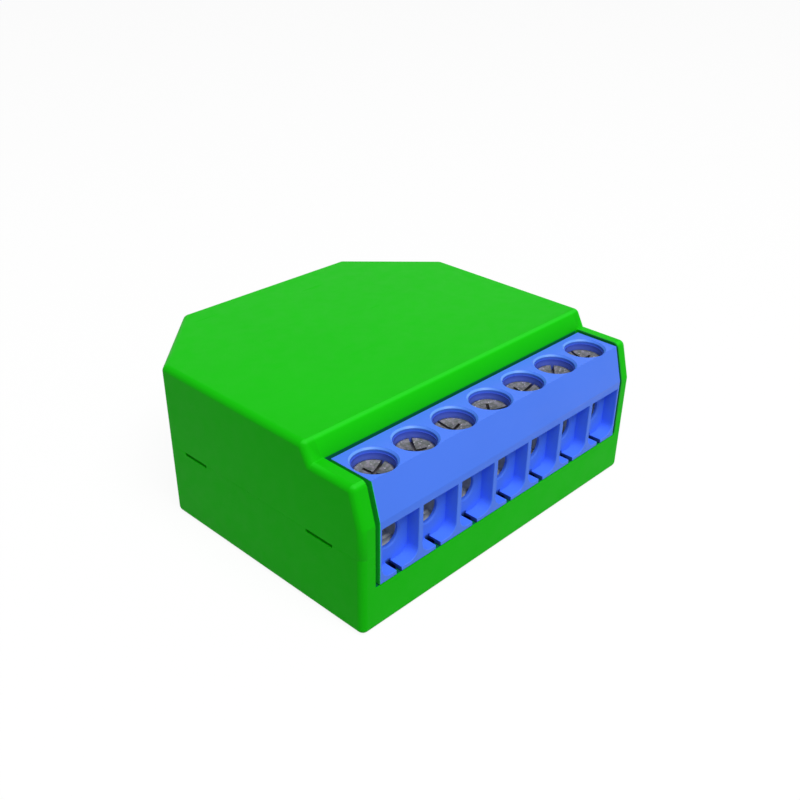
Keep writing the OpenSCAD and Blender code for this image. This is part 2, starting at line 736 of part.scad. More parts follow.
// Chip resistors on the solder side
module input_resistors() {
    color([0.12, 0.12, 0.12]) for (x = [-9, -3, 3, 9]) translate([x, front + 14, board_z]) rotate([180, 0, 0])
        end_cap_chip(3.2, 1.6, 0.6);
}

// The radio part of the control board stands just above the header's pins
radio_x = 5.5;
shield = [9, 8, 2];
radio_z = header_z + header_pin / 2 + 0.45 + shield[1] / 2;

module microcontroller() {
    color([0.12, 0.12, 0.13]) on_control_back(-5, radio_z + 0.5) {
        gull_chip(5, 5, 1, 6, 0.8, 0.3);
        rotate(90) gull_chip(5, 5, 1, 6, 0.8, 0.3);
    }
}

module radio_chip() {
    size = 5;
    h = 0.85;
    color([0.12, 0.12, 0.13]) on_control_back(radio_x, radio_z) difference() {
        block([-size / 2, -size / 2, 0], [size / 2, size / 2, h]);
        translate([0.6 - size / 2, size / 2 - 0.6, h - 0.15]) cylinder(r = 0.3, h = 1);
    }
}

module radio_crystal() {
    w = 1.6;
    l = 3.2;
    rim_w = 0.15;
    color([0.80, 0.78, 0.70]) on_control_back(radio_x + 3.5, radio_z) {
        block([-w / 2, -l / 2, 0], [w / 2, l / 2, 0.5]);
        block([rim_w - w / 2, rim_w - l / 2, 0.4], [w / 2 - rim_w, l / 2 - rim_w, 0.7]);
    }
}

// Folded can over the radio, open towards the board
module radio_shield() {
    x = shield[0] / 2;
    y = shield[1] / 2;
    t = 0.2;
    color([0.78, 0.79, 0.80]) on_control_back(radio_x + 0.6, radio_z) difference() {
        block([-x, -y, 0], [x, y, shield[2]]);
        block([t - x, t - y, -1], [x - t, y - t, shield[2] - t]);
        for (i = [-1:1], j = [-1:1]) translate([2.5 * i, 2 * j, 0]) cylinder(r = 0.4, h = shield[2] + 1);
    }
}

module memory_chip() {
    color([0.12, 0.12, 0.13]) on_control_front(-9, radio_z + 1) gull_chip(4.9, 3.9, 1.5, 4, 1.27);
}

module voltage_regulator() {
    color([0.12, 0.12, 0.13]) on_control_front(0, radio_z + 1.5) gull_chip(2.9, 1.6, 1.1, 3, 0.95);
}

module chip_antenna() {
    color([0.85, 0.88, 0.90]) on_control_front(8.5, control_high - 1.6) end_cap_chip(7, 2, 0.9);
}

module control_capacitors() {
    color([0.66, 0.52, 0.36]) {
        for (k = [0:3]) on_control_front(4.5 + 2 * k, radio_z - 0.5) rotate(90) end_cap_chip(1.6, 0.8, 0.7);
        for (k = [0:1]) on_control_back(-10.5 + 1.4 * k, radio_z - 3) rotate(90) end_cap_chip(1.6, 0.8, 0.7);
    }
}

top_cover();
bottom_housing();
terminal_housing();
terminal_screw_1();
terminal_screw_2();
terminal_screw_3();
terminal_screw_4();
terminal_screw_5();
terminal_screw_6();
terminal_screw_7();
clamp_cage_1();
clamp_cage_2();
clamp_cage_3();
clamp_cage_4();
clamp_cage_5();
clamp_cage_6();
clamp_cage_7();
contact_bars();
main_board();
control_board();
header_strip();
header_pins();
power_transistor_1();
power_transistor_2();
heat_spreader();
thermal_pad();
gate_driver();
sense_resistor();
film_capacitor();
varistor();
fusible_resistor();
bulk_capacitor_1();
bulk_capacitor_2();
smoothing_capacitor();
supply_choke();
optocoupler();
supply_controller();
bridge_rectifier();
input_resistors();
microcontroller();
radio_chip();
radio_crystal();
radio_shield();
memory_chip();
voltage_regulator();
chip_antenna();
control_capacitors();
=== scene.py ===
"""Looks of the in-wall dimmer module: finishes, finer terminal row and screws, light and camera."""

import json
import math

import bmesh
import bpy
from mathutils import Matrix, Vector

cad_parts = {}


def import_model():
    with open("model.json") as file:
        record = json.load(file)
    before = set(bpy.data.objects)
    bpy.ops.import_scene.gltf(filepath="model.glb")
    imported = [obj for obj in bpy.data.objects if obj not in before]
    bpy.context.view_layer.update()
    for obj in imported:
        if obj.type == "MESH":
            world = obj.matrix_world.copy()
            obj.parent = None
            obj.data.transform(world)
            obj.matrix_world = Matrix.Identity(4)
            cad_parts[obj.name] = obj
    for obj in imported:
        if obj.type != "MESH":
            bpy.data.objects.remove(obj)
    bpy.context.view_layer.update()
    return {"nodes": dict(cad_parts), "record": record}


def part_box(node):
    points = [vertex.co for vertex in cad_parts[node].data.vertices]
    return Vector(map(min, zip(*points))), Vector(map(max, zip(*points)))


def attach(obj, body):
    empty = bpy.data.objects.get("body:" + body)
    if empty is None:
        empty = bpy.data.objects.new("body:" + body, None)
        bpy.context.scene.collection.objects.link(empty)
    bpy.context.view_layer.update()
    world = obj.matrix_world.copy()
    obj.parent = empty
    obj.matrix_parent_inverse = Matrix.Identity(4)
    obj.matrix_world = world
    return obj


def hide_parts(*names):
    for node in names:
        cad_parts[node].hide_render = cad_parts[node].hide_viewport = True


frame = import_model()
MM = 0.001

# ---- sizes of the part that the finishes and the finer pieces need, in millimetres

PITCH, WAYS = 5.4, 7
FRONT = -18.9
SCREW_Y = FRONT + 3.35
BOARD_LOW, BOARD_TOP = 2.9, 4.5
CONTROL_FRONT, CONTROL_BACK = 12.9, 13.9

# Terminal row: heights above the underside, and depths from FRONT
ROW_LOW, ROW_TOP, ROW_BACK = 5.05, 15.9, 6.2
ROW_SHIFT = 0.15
SLOPE_Z, SLOPE_TOP = 11.9, 1.1
REAR_TOP, REAR_BACK = 14.3, 8.82
FOOT_FRONT, FOOT_BACK = 0.8, 5.62

# Wire entry: the wall between two, a mouth with a rounded floor, a slit along the floor that
# widens into a groove, and a round hole into the chamber of the clamp
PARTITION = 0.6
ENTRY_FLOOR, ENTRY_TOP, ENTRY_R = 5.5, 11.1, 1.2
MOUTH = 1.5
SLIT_W, SLIT_LOW = 0.7, 4.0
GROOVE_W, GROOVE_FRONT, GROOVE_LOW = 2.6, 0.85, 3.6
WIRE_Z, WIRE_R = 8.65, 1.4
CHAMBER_W, CHAMBER_LOW, CHAMBER_TOP = 4.6, 6.2, 13.9
CHAMBER_Y, CHAMBER_END = 1.92, 5.32

# Slots for the contact bar and its pin
BAR_W, BAR_LOW, BAR_TOP = 3.1, 10.05, 10.95
PIN_Y, PIN_HALF, PIN_LOW, PIN_TOP = 7.22, 0.55, 2, 10.5

# Screw hole and screw
SHANK_HOLE_R, BORE_R, BORE_LOW = 1.9, 2.06, 13.95
ACCESS_R, ACCESS_DEPTH, RIM = 2.15, 0.5, 0.2
HEAD_R, HEAD_LOW, HEAD_TOP, HEAD_EDGE = 2.0, 14.0, 14.85, 0.25
SHANK_R, SHANK_LOW, TIP_R, TIP_LOW = 1.0, 11.3, 0.6, 10.95
DISH = ((1.65, 0.03), (1.2, 0.17), (0.7, 0.28), (0.2, 0.34))
SLOT_HALF, SLOT_DEPTH = 0.17, 0.6
CROSS_HALF, CROSS_REACH, CROSS_DEPTH = 0.16, 1.15, 0.75

# How each screw stands, in degrees, and how far a cutter reaches past the face that it opens
SCREW_ANGLE, SCREW_ANGLE_STEP = 17, 41
PAST = 1

# Edge roundings, and the angle from which an edge is sharp
EDGE_ROUND, MOUTH_ROUND = 0.05, 0.06
SHARP = math.radians(35)


def way_x(i):
    return (i - (WAYS - 1) / 2) * PITCH


class Shader:
    """Principled material in layers. Lengths are in millimetres, in object coordinates."""

    def __init__(self, name, color, roughness=0.5, metallic=0.0, specular=0.3):
        self.material = bpy.data.materials.new(name)
        self.material.use_nodes = True
        self.material.diffuse_color = (*color, 1)
        self.tree = self.material.node_tree
        self.surface = self.tree.nodes["Principled BSDF"]
        self.surface.inputs["Specular IOR Level"].default_value = specular
        self.coords = self.node("ShaderNodeTexCoord").outputs["Object"]
        self.axes = self.node("ShaderNodeSeparateXYZ", {"Vector": self.coords}).outputs
        self.state = {"Base Color": color, "Roughness": roughness, "Metallic": metallic}
        self.height = None

    def node(self, kind, inputs=None, **settings):
        n = self.tree.nodes.new(kind)
        for key, value in settings.items():
            setattr(n, key, value)
        for key, value in (inputs or {}).items():
            self.feed(n.inputs[key], value)
        return n

    def feed(self, socket, value):
        if isinstance(value, bpy.types.NodeSocket):
            self.tree.links.new(value, socket)
        elif isinstance(value, tuple) and socket.type == "RGBA":
            socket.default_value = (*value, 1)
        else:
            socket.default_value = value

    def math(self, operation, a, b=0.0, c=0.0):
        return self.node("ShaderNodeMath", {0: a, 1: b, 2: c}, operation=operation).outputs[0]

    def absolute(self, value):
        return self.math("ABSOLUTE", value)

    def noise(self, size, detail=2.0, stretch=(1, 1, 1)):
        """Noise with features of about this size, longer along an axis with stretch above 1."""
        scale = tuple(1 / k for k in stretch)
        place = self.node("ShaderNodeMapping", {"Vector": self.coords, "Scale": scale}).outputs[0]
        settings = {"Vector": place, "Scale": 1 / (size * MM), "Detail": detail}
        return self.node("ShaderNodeTexNoise", settings).outputs[0]

    def ramp(self, value, low, high, to_low=0.0, to_high=1.0):
        ends = {"From Min": low, "From Max": high, "To Min": to_low, "To Max": to_high}
        return self.node("ShaderNodeMapRange", {"Value": value, **ends}).outputs[0]

    def fade(self, length, low, high, to_low=0.0, to_high=1.0):
        """Ramp over a length whose two ends are given in millimetres."""
        return self.ramp(length, low * MM, high * MM, to_low, to_high)

    def normals(self):
        """Components of the surface normal."""
        normal = self.node("ShaderNodeTexCoord").outputs["Normal"]
        return self.node("ShaderNodeSeparateXYZ", {"Vector": normal}).outputs

    def mix(self, mask, a, b):
        if isinstance(a, tuple) or isinstance(b, tuple) or getattr(a, "type", "") == "RGBA":
            mixer = self.node("ShaderNodeMix", {0: mask, 6: a, 7: b}, data_type="RGBA")
            return mixer.outputs[2]
        return self.node("ShaderNodeMix", {0: mask, 2: a, 3: b}, data_type="FLOAT").outputs[0]

    def layer(self, mask, color=None, roughness=None, metallic=None):
        """Lay another colour, roughness or metal over what is there, where the mask is 1."""
        for key, value in (("Base Color", color), ("Roughness", roughness), ("Metallic", metallic)):
            if value is not None:
                self.state[key] = self.mix(mask, self.state[key], value)

    def vary(self, mask, low, high):
        """Multiply the colour by low where the mask is 0 and by high where it is 1."""
        k = self.ramp(mask, 0, 1, low, high)
        gray = self.node("ShaderNodeCombineColor", {0: k, 1: k, 2: k}).outputs[0]
        product = self.node("ShaderNodeMix", {0: 1.0, 6: self.state["Base Color"], 7: gray},
                            data_type="RGBA", blend_type="MULTIPLY")
        self.state["Base Color"] = product.outputs[2]

    def within(self, length, limit):
        """1 where a length is under the limit."""
        return self.math("LESS_THAN", length, limit * MM)

    def band(self, axis, centre, half):
        """1 where the point is within half of centre along one axis."""
        return self.math("COMPARE", self.axes[axis], centre * MM, half * MM)

    def below(self, axis, level):
        return self.within(self.axes[axis], level)

    def above(self, axis, level):
        return self.math("GREATER_THAN", self.axes[axis], level * MM)

    def between(self, axis, low, high):
        return self.both(self.above(axis, low), self.below(axis, high))

    def both(self, *masks):
        out = masks[0]
        for m in masks[1:]:
            out = self.math("MULTIPLY", out, m)
        return out

    def either(self, *masks):
        out = masks[0]
        for m in masks[1:]:
            out = self.math("MAXIMUM", out, m)
        return out

    def opposite(self, mask):
        return self.math("SUBTRACT", 1.0, mask)

    def offset(self, axis, centre):
        return self.math("SUBTRACT", self.axes[axis], centre * MM)

    def from_nearest(self, centre, step):
        """Place along X from the nearest of an even row of centres, one of which is given."""
        half = step / 2 * MM
        return self.math("WRAP", self.offset(0, centre), half, -half)

    def reach(self, u, v):
        """Distance in the plane of two values."""
        squares = self.math("ADD", self.math("MULTIPLY", u, u), self.math("MULTIPLY", v, v))
        return self.math("SQRT", squares)

    def from_screw(self):
        """Distance in plan from the axis of the nearest terminal screw."""
        return self.reach(self.from_nearest(0, PITCH), self.offset(1, SCREW_Y))

    def near(self, points, radius):
        """1 within radius of any of the points, in plan."""
        spots = [self.reach(self.offset(0, x), self.offset(1, y)) for x, y in points]
        return self.either(*[self.within(distance, radius) for distance in spots])

    def emboss(self, height, depth):
        """Add relief of the given depth; heights run from 0 to 1."""
        scaled = self.math("MULTIPLY", height, depth * MM)
        self.height = scaled if self.height is None else self.math("ADD", self.height, scaled)

    def done(self):
        for key, value in self.state.items():
            self.feed(self.surface.inputs[key], value)
        if self.height is not None:
            relief = {"Height": self.height, "Distance": 1.0, "Strength": 0.6}
            bump = self.node("ShaderNodeBump", relief)
            self.feed(self.surface.inputs["Normal"], bump.outputs[0])
        return self.material


TINNED = dict(color=(0.55, 0.56, 0.57), roughness=0.34, metallic=1.0)
BARE_CAN = dict(color=(0.62, 0.63, 0.65), roughness=0.3, metallic=1.0)
BLACK = (0.022, 0.022, 0.024)
WHITE = (0.70, 0.70, 0.66)
MARGIN = 0.02


def rest_box(name):
    """Middle and half sizes of a node at rest, in millimetres."""
    low, high = (Vector(v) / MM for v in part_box(name))
    return (low + high) / 2, (high - low) / 2


# ---- moulded plastics

# Painted shade: colours that stand for shadow in the gaps round the terminal row, on the lip under
# it, and on the inner face of the right-hand wall
GAP_SHADE = (0.003, 0.13, 0.06)
SHADED_WALL = (0.006, 0.27, 0.03)

# Places of painted shade and painted light round the terminal row: half widths in X that keep
# a mark off the outer walls, the inner face of the right-hand wall, the step, the lip, and the
# walls of the screw holes
GAP_HALF, STEP_HALF = 19.2, 19.5
WALL_START, WALL_FULL, WALL_END, WALL_LOW, WALL_BACK = 18.85, 19.35, 19.55, 5.2, 6.3
STEP_FRONT, STEP_BACK, STEP_LOW = 5.9, 7.2, 16.1
STEP_GAP = (14.6, 15.98)
LIP_FRONT, LIP_BACK, LIP_TOP = 0.1, 1.2, (4.9, 5.1)
SLIT_SHADE, SLIT_FRONT, SLIT_BACK = 1.4, 0.04, 2.2
ROW_END = -18.7
HOLE_R, HOLE_LOW, HOLE_FRONT = 2.36, 13.5, 1.16
RIM_SHADE, DEEP_SHADE = (15.45, 15.38), (15.36, 15.0)


def moulded(name, color, roughness=0.42, specular=0.12, grain=0.0035):
    """Moulded plastic: fine eroded grain, faint flow marks, uneven gloss and hair scratches."""
    s = Shader(name, color, roughness, specular=specular)
    s.vary(s.ramp(s.noise(7, 2, (1, 1.6, 1)), 0.3, 0.7), 0.985, 1.012)
    s.state["Roughness"] = s.ramp(s.noise(1.3, 3), 0.3, 0.7, roughness - 0.04, roughness + 0.06)
    hairs = s.ramp(s.noise(0.5, 1, (14, 1, 1)), 0.7, 0.74)
    worn = s.ramp(s.noise(4, 1), 0.5, 0.6)
    s.layer(s.both(hairs, worn), roughness=roughness + 0.14)
    s.emboss(s.noise(0.12, 2), grain)
    return s


def ejector_marks(s, points, level, radius=1.2, rim=0.1):
    """Rings that the ejector pins of the mould leave on an inner face at one height."""
    face = s.band(2, level, 0.03)
    ring = s.math("SUBTRACT", s.near(points, radius + rim), s.near(points, radius))
    s.layer(s.both(face, s.near(points, radius)), roughness=0.3)
    s.emboss(s.both(face, ring), -0.03)


def side_gap(s):
    """Inner face of the right-hand wall, shaded where it stands beside the terminal row."""
    wall = s.both(s.above(0, WALL_START), s.fade(s.axes[0], WALL_END, WALL_FULL))
    return s.both(wall, s.below(1, FRONT + WALL_BACK), s.above(2, WALL_LOW))


def cover(name):
    """Painted highlights on the upper edges, painted light on the front face of the step, and
    painted shade in the gap where the terminal row meets the step.
    """
    s = moulded(name, (0.008, 0.572, 0.004), specular=0.04)
    _, along, up = s.normals()  # an edge leans up and to the front, and the flat roof doesn't
    edge = s.both(s.ramp(up, 0.62, 0.85), s.ramp(up, 0.992, 0.96), s.ramp(along, -0.05, -0.2))
    # Painted highlight: edges that lean up and to the front are made lighter and brighter green
    s.vary(edge, 1.0, 1.13)
    s.layer(edge, color=(0.022, 0.66, 0.02))
    # Painted shade in the gap between the back of the terminal row and the step
    step_gap_shade = s.both(s.between(2, *STEP_GAP), s.between(1, FRONT + STEP_FRONT, FRONT + STEP_BACK),
                 s.band(0, 0, GAP_HALF))
    s.layer(step_gap_shade, color=GAP_SHADE)
    # Painted light: the front-facing face of the step is made lighter
    step = s.both(s.above(2, STEP_LOW), s.ramp(along, -0.4, -0.65), s.band(0, 0, STEP_HALF))
    s.vary(step, 1.0, 1.07)
    s.layer(side_gap(s), color=SHADED_WALL)
    ejector_marks(s, [(x, y) for x in (-13, 13) for y in (-7, 4, 11)], level=16.5)
    return s.done()


def lower_shell(name):
    """Painted shade on the top of the lip below the terminal row, where the slits show it."""
    s = moulded(name, (0.008, 0.566, 0.004), 0.44, 0.04)
    # Painted shade on the top of the lip, seen through the slits
    lip_shade = s.both(s.between(2, *LIP_TOP), s.between(1, FRONT + LIP_FRONT, FRONT + LIP_BACK),
                 s.band(0, 0, GAP_HALF))
    s.layer(lip_shade, color=GAP_SHADE)
    s.layer(side_gap(s), color=SHADED_WALL)
    ejector_marks(s, [(x, y) for x in (-14.5, 0, 14.5) for y in (-9, -1.2, 8.5)], level=1.4)
    return s.done()


def terminal_block(name):
    """Painted shade in the slits, painted shade with reflected green light on the left end, and a
    painted highlight on the far rim and painted shades down the wall of each screw hole.
    """
    s = moulded(name, (0.080, 0.228, 1.0), 0.38, 0.14)
    # Painted shade inside the slits
    painted_slit_shade = s.both(s.within(s.absolute(s.from_nearest(ROW_SHIFT, PITCH)), SLIT_SHADE),
                  s.between(1, FRONT + SLIT_FRONT, FRONT + SLIT_BACK),
                  s.below(2, ENTRY_FLOOR - 0.08))
    s.layer(painted_slit_shade, color=(0.03, 0.08, 0.36))
    # Painted shade with reflected green light on the left end of the row, in the gap beside the
    # wall
    left_end_shade = s.both(s.below(0, ROW_END), s.below(2, ROW_TOP - 0.05))
    s.layer(left_end_shade, color=(0.012, 0.62, 0.05))
    hole = s.both(s.within(s.from_screw(), HOLE_R), s.between(2, HOLE_LOW, ROW_TOP - 0.04),
                  s.above(1, FRONT + HOLE_FRONT))
    # Painted highlight on the far side of the rim and wall of each screw hole
    far_highlight = s.fade(s.axes[1], SCREW_Y + 0.3, SCREW_Y + 1.9, 0.1, 0.8)
    s.layer(s.both(hole, far_highlight), color=(0.17, 0.42, 1.0), roughness=0.25)
    # Painted shade down the wall of each screw hole, with a darker painted shadow just under the
    # rim
    s.layer(s.both(hole, s.below(2, ROW_TOP - 0.24)), color=(0.07, 0.18, 0.82))
    s.layer(s.both(hole, s.fade(s.axes[2], *RIM_SHADE)), color=(0.055, 0.10, 0.62))
    s.layer(s.both(hole, s.fade(s.axes[2], *DEEP_SHADE)), color=(0.10, 0.16, 0.72))
    return s.done()


# ---- metals

def plated(name, color, roughness, size=0.7):
    """Plated metal: dull patches and slightly uneven plating."""
    s = Shader(name, color, roughness, metallic=1.0, specular=0.5)
    patches = s.noise(size, 4)
    s.vary(s.ramp(patches, 0.3, 0.7), 0.86, 1.06)
    s.state["Roughness"] = s.ramp(patches, 0.3, 0.75, roughness - 0.06, roughness + 0.14)
    return s


def screw(name):
    """Turned head: blotches, painted glints as bright specks, rings round the axis, and a dull
    driving recess that is also darkened a little as painted shade.
    """
    s = plated(name, (0.21, 0.20, 0.225), 0.36)
    blotches = s.ramp(s.noise(0.42, 2), 0.38, 0.62)
    s.layer(blotches, color=(0.19, 0.205, 0.19), roughness=0.5)
    s.vary(blotches, 1.2, 0.7)
    # Painted glints: small bright specks on the head
    specks = s.ramp(s.noise(0.2, 1), 0.66, 0.72)
    s.layer(specks, color=(0.62, 0.62, 0.68), roughness=0.25)
    from_axis = s.from_screw()
    turning = {"W": s.math("MULTIPLY", from_axis, 9000.0), "Scale": 1.0, "Detail": 2.0}
    s.emboss(s.node("ShaderNodeTexNoise", turning, noise_dimensions="1D").outputs[0], 0.012)
    s.vary(s.fade(from_axis, 0.9, 1.75), 0.9, 1.35)
    # Dull finish in the driving recess, darkened a little as painted shade
    dull_shaded_recess = s.both(s.below(2, HEAD_TOP - 0.43), s.within(from_axis, HEAD_R - 0.1))
    s.layer(dull_shaded_recess, color=(0.19, 0.18, 0.19), roughness=0.55)
    return s.done()


def clamp(name):
    """Dull zinc-plated sheet with the marks of rolling."""
    s = plated(name, (0.66, 0.70, 0.68), 0.55, 0.5)
    s.state["Metallic"] = 0.35
    s.emboss(s.noise(0.16, 3, (1, 1, 5)), 0.012)
    return s.done()


def contact_bar(name):
    s = plated(name, (0.70, 0.66, 0.56), 0.36, 0.9)
    s.emboss(s.noise(0.3, 3, (1, 6, 1)), 0.01)
    s.layer(s.below(2, BOARD_LOW), **TINNED)
    return s.done()


def gold_pins(name):
    s = plated(name, (0.82, 0.60, 0.22), 0.26, 0.5)
    s.layer(s.below(2, BOARD_LOW), **TINNED)
    return s.done()


def spreader(name):
    """Mill-finish aluminium sheet with rolling lines along its length."""
    s = plated(name, (0.72, 0.73, 0.74), 0.34, 2.5)
    lines = s.noise(0.18, 3, (1, 30, 1))
    s.emboss(lines, 0.012)
    s.layer(s.ramp(lines, 0.55, 0.75), roughness=0.5)
    return s.done()


def shield(name):
    s = plated(name, (0.66, 0.67, 0.68), 0.3, 1.4)
    s.emboss(s.noise(2.5, 2), 0.05)
    return s.done()


def crystal(name):
    """Metal lid on a dark ceramic tray with gold seams."""
    s = plated(name, (0.68, 0.66, 0.60), 0.3, 0.6)
    tray = s.below(1, CONTROL_BACK + 0.4)
    s.layer(tray, color=(0.10, 0.09, 0.08), roughness=0.5, metallic=0.0)
    seam = s.band(1, CONTROL_BACK + 0.46, 0.06)
    s.layer(seam, color=(0.75, 0.55, 0.2), roughness=0.3, metallic=1.0)
    return s.done()


# ---- boards

# Holes of the main board in plan: header pins, contact pins and the leads of the components
HEADER_HOLES = [((k - 4) * 2.0, CONTROL_FRONT - 1) for k in range(9)]
PIN_HOLES = [(way_x(k), FRONT + PIN_Y) for k in range(WAYS)]
LEAD_HOLES = [(x, FRONT + y) for x, y in (
    (-2.8, 11.75), (-2.8, 19.25), (1.7, 11.2), (3.1, 16.2), (2.4, 17.8), (2.4, 25.2),
    (5.1, 11.65), (5.1, 15.15), (5.1, 19.7), (5.1, 22.2), (-3.8, 24.2), (-1.8, 24.2),
    (12.75, 27.9), (15.25, 27.9))]


def laminate(name, color, up, low, high, pads=()):
    """Solder mask over copper tracks, tinned pads round the holes and pale cut edges."""
    s = Shader(name, color, 0.3, specular=0.45)
    u, v = [a for a in range(3) if a != up]
    grid = s.node("ShaderNodeCombineXYZ", {0: s.axes[u], 1: s.axes[v]}).outputs[0]
    cells = s.node("ShaderNodeTexVoronoi", {"Vector": grid, "Scale": 260.0, "Randomness": 0.85},
                   distance="MANHATTAN", feature="F1", voronoi_dimensions="2D")
    copper = s.math("LESS_THAN", cells.outputs["Distance"], 0.62)
    fine = s.node("ShaderNodeTexBrick", {"Vector": grid, "Scale": 700.0, "Mortar Size": 0.16})
    track = s.either(copper, fine.outputs["Fac"])
    s.vary(track, 0.78, 1.25)
    s.emboss(track, 0.02)
    s.vary(s.ramp(s.noise(3, 3), 0.3, 0.7), 0.93, 1.05)
    for points, radius in pads:
        s.layer(s.near(points, radius), **TINNED)
    inside = s.band(up, (low + high) / 2, (high - low) / 2 - MARGIN)
    upright = s.math("LESS_THAN", s.absolute(s.normals()[up]), 0.5)
    side = s.both(inside, upright)
    s.layer(side, color=(0.50, 0.48, 0.25), roughness=0.7)
    s.emboss(s.both(side, s.noise(0.15, 3, (1, 1, 4))), 0.03)
    return s.done()


def main_board(name):
    pads = [(LEAD_HOLES, 0.85), (PIN_HOLES, 1.35), (HEADER_HOLES, 0.8)]
    return laminate(name, (0.012, 0.13, 0.045), 2, BOARD_LOW, BOARD_TOP, pads)


def control_board(name):
    return laminate(name, (0.010, 0.06, 0.20), 1, CONTROL_FRONT, CONTROL_BACK)


# ---- components: each has its body inside the leads or caps, which are tinned

def resin(name, color=BLACK, roughness=0.55):
    s = Shader(name, color, roughness, specular=0.35)
    s.vary(s.ramp(s.noise(0.6, 3), 0.3, 0.7), 0.85, 1.2)
    s.emboss(s.noise(0.08, 2), 0.006)
    return s


def leaded(name, axes, color=BLACK, cap=0.95):
    """Chip whose leads or caps reach past its body by cap at both ends of the given axes."""
    s = resin(name, color)
    mid, half = rest_box(name)
    body = s.both(*[s.band(a, mid[a], half[a] - cap + MARGIN / 2) for a in axes])
    s.layer(s.opposite(body), **TINNED)
    return s.done()


def transistor(name, body_from_back=4.1, body_half=3.06, body_lift=0.52):
    s = resin(name)
    mid, half = rest_box(name)
    body = s.both(s.band(1, mid.y + half.y - body_from_back, body_half),
                  s.above(2, BOARD_TOP + body_lift))
    s.layer(s.opposite(body), **TINNED)
    return s.done()


def resistors(name, centre=3, step=6, body_half=1.088):
    """Chip resistors in a row, tinned at both ends."""
    s = resin(name, roughness=0.4)
    caps = s.math("GREATER_THAN", s.absolute(s.from_nearest(centre, step)), body_half * MM)
    s.layer(caps, **TINNED)
    return s.done()


def capacitors(name, levels=(9.9, 7.4), body_half=0.544):
    """Chip capacitors at two heights on the upright board, tinned at both ends."""
    s = resin(name, (0.33, 0.20, 0.10), 0.4)
    body = s.either(*[s.band(2, level, body_half) for level in levels])
    s.layer(s.opposite(body), **TINNED)
    return s.done()


def film_case(name):
    s = moulded(name, (0.83, 0.50, 0.02), 0.22, 0.45, grain=0.002)
    s.layer(s.below(2, BOARD_TOP + 0.05), **TINNED)
    return s.done()


def dipped(name):
    """Glossy dipped coating with sags, which runs a little way down the leads."""
    s = Shader(name, (0.02, 0.09, 0.50), 0.2, specular=0.5)
    s.vary(s.ramp(s.noise(2, 2), 0.3, 0.7), 0.85, 1.15)
    s.emboss(s.noise(1.6, 1), 0.12)
    drips = s.math("MULTIPLY", s.noise(0.8, 1), -0.5 * MM)
    s.layer(s.within(s.math("ADD", s.axes[2], drips), BOARD_TOP + 0.7), **TINNED)
    return s.done()


def banded(name, body_half=3.21, band_half=0.28):
    """Lacquered resistor body with four colour bands and bare leads."""
    s = Shader(name, (0.10, 0.34, 0.26), 0.36, specular=0.4)
    s.emboss(s.noise(0.7, 2), 0.03)
    middle = rest_box(name)[0].y
    for offset, color in ((-2.3, (0.05, 0.05, 0.05)), (-1.2, (0.75, 0.35, 0.02)),
                          (-0.2, (0.55, 0.42, 0.08)), (1.9, (0.25, 0.08, 0.02))):
        s.layer(s.band(1, middle + offset, band_half), color=color)
    past_body = s.opposite(s.band(1, middle, body_half))
    s.layer(s.either(past_body, s.below(2, BOARD_TOP)), **TINNED)
    return s.done()


def can(name, axis, radius, length):
    """Can in a shrunk sleeve: a pale stripe, a bare scored end, a rubber bung and tinned leads."""
    s = Shader(name, (0.012, 0.016, 0.05), 0.3, specular=0.4)
    s.vary(s.ramp(s.noise(1.5, 2), 0.3, 0.7), 0.85, 1.2)
    mid, half = rest_box(name)
    end = mid[axis] + half[axis]
    foot = end - length
    if axis == 0:  # a can that lies has its leads below it, inside the box
        mid[2] += half[2] - radius
    u, v = [s.offset(a, mid[a]) for a in range(3) if a != axis]
    from_axis = s.reach(u, v)
    stripe = s.both(s.math("GREATER_THAN", u, 0.0), s.within(s.absolute(v), 0.8))
    s.layer(stripe, color=(0.42, 0.44, 0.46))
    cap = s.both(s.above(axis, end - 0.35), s.within(from_axis, radius - 0.5))
    s.layer(cap, **BARE_CAN)
    score = s.both(cap, s.either(*[s.within(s.absolute(w), 0.12) for w in (u, v)]))
    s.layer(score, color=(0.3, 0.3, 0.32))
    s.emboss(score, -0.1)
    bung = s.both(s.below(axis, foot + 0.5), s.within(from_axis, radius - 0.75))
    s.layer(bung, color=(0.02, 0.02, 0.02), roughness=0.7)
    s.layer(s.either(s.below(axis, foot - MARGIN), s.below(2, BOARD_TOP - MARGIN)), **TINNED)
    return s.done()


def choke(name, sleeve_lift=3.8, sleeve_half=2.7, wire=0.35):
    """Ferrite drum with a shrunk black sleeve over the winding, whose turns show through."""
    s = resin(name, (0.045, 0.045, 0.05), 0.6)
    sleeve = s.band(2, BOARD_TOP + sleeve_lift, sleeve_half)
    s.layer(sleeve, color=(0.012, 0.012, 0.013), roughness=0.35)
    turns = s.math("SINE", s.math("MULTIPLY", s.axes[2], 2 * math.pi / (wire * MM)))
    s.emboss(s.both(sleeve, turns), 0.03)
    s.layer(s.below(2, BOARD_TOP), **TINNED)
    return s.done()


def pad(name):
    """Soft silicone with mineral filler specks."""
    s = Shader(name, (0.26, 0.32, 0.40), 0.75, specular=0.25)
    specks = s.ramp(s.noise(0.15, 2), 0.62, 0.7)
    s.layer(specks, color=(0.5, 0.55, 0.6))
    s.emboss(s.noise(0.5, 3), 0.04)
    return s.done()


